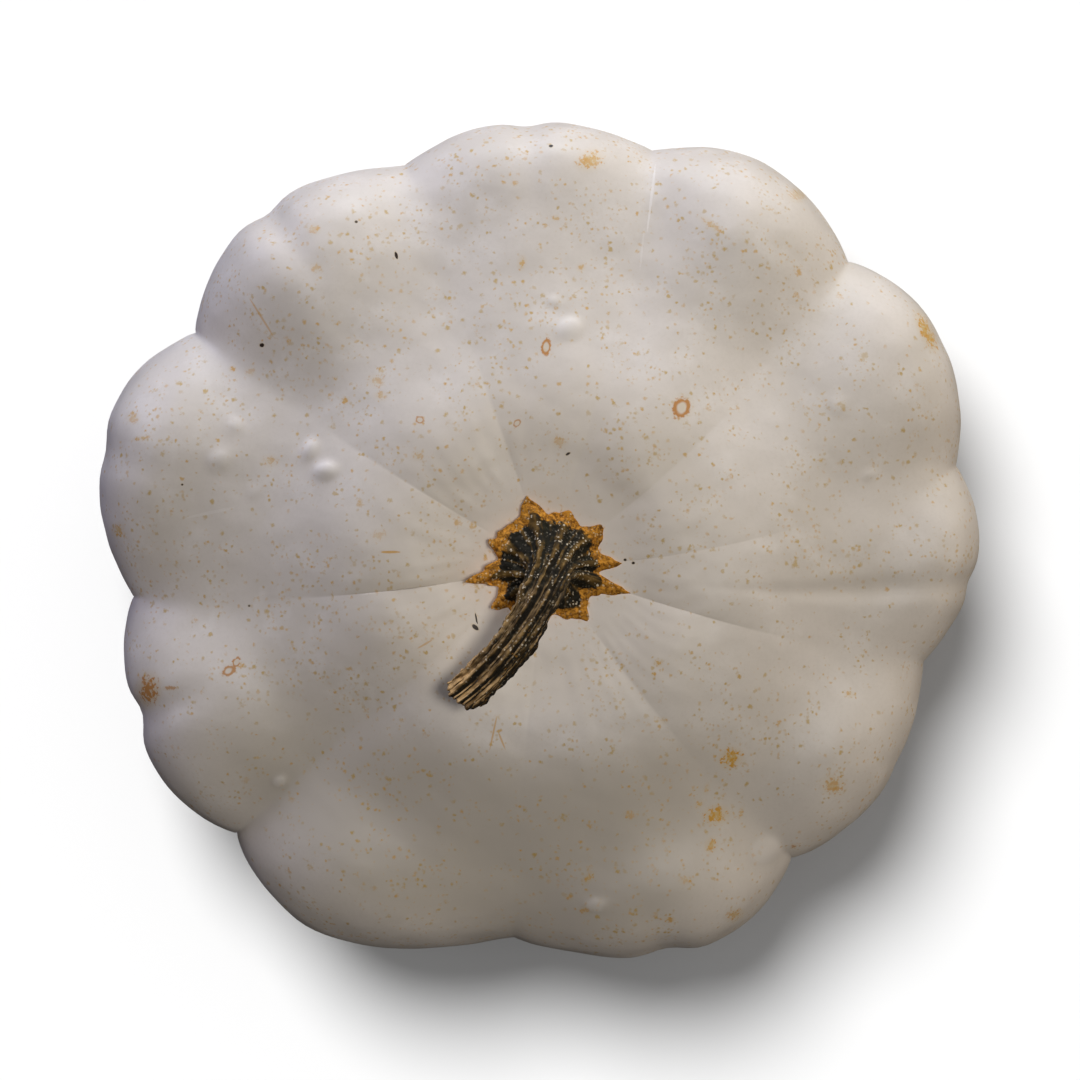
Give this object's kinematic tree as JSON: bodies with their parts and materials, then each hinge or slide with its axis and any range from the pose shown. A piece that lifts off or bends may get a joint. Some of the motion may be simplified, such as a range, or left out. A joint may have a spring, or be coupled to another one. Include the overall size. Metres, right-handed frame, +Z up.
{
  "type": "pattypan squash",
  "caption": "Flat, round, white summer squash with a scalloped rim, deep grooves between its lobes and a dried, ribbed stalk bent over its top. It rests on its blossom end.",
  "frame": {"origin": "on the resting surface, under the middle of the fruit's outline", "axes": "+Z up, from the blossom end to the stalk; +X to the right and +Y away from the viewer of the picture, which looks straight down"},
  "size_m": [0.16, 0.152, 0.079],
  "materials": {
    "rind": "satin off-white rind with small ochre flecks and scars",
    "stalk": "dry, ribbed, dark brown and straw-coloured, with a corky orange edge"
  },
  "bodies": {
    "root": {"fruit": "rind", "stalk": "stalk"}
  },
  "joints": []
}
